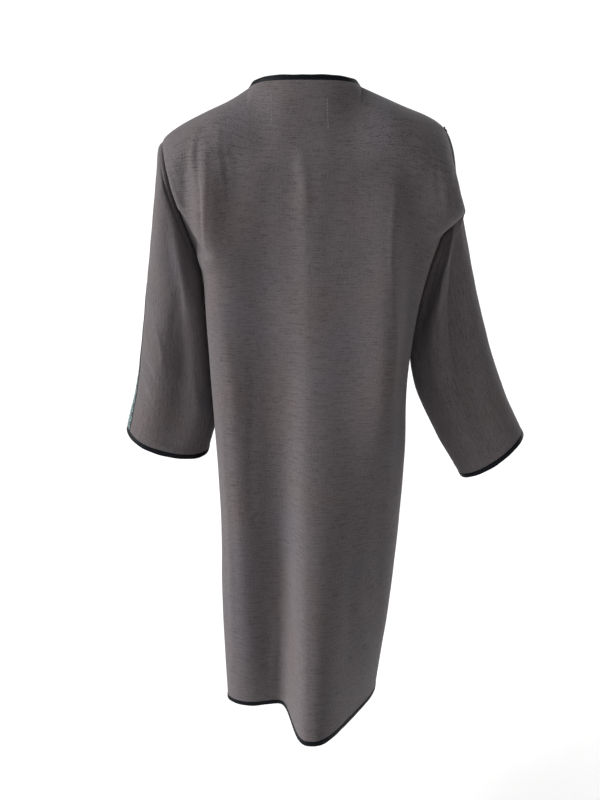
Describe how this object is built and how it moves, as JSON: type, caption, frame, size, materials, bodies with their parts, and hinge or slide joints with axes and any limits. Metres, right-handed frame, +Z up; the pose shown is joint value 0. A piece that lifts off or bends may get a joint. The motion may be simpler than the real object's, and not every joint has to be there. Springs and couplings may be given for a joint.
{
  "type": "open-front abaya",
  "caption": "Straight-cut open-front abaya, hollow as worn, with drop shoulders, bracelet-length sleeves, bound neck, fronts, cuffs and hem, and a patterned band on each cuff.",
  "frame": {"origin": "midway between the two neck points of the shoulder seams, where the wearer's shoulders carry the garment", "axes": "+Z up to the neck, -Y out of the wearer's front, +X to the wearer's left"},
  "size_m": [0.7238, 0.3335, 1.13],
  "materials": {
    "suiting": "matte heathered suiting with fine crosswise slubs",
    "binding": "black satin bias strip with a soft sheen",
    "band": "black brocade with a pale blue-green leaf scroll"
  },
  "bodies": {
    "root": {"back": "suiting", "front_left": "suiting", "front_right": "suiting", "sleeve_left": "suiting", "sleeve_right": "suiting", "neck_binding": "binding", "front_binding_left": "binding", "front_binding_right": "binding", "hem_binding": "binding", "cuff_binding_left": "binding", "cuff_binding_right": "binding", "sleeve_band_left": "band", "sleeve_band_right": "band"}
  },
  "joints": []
}
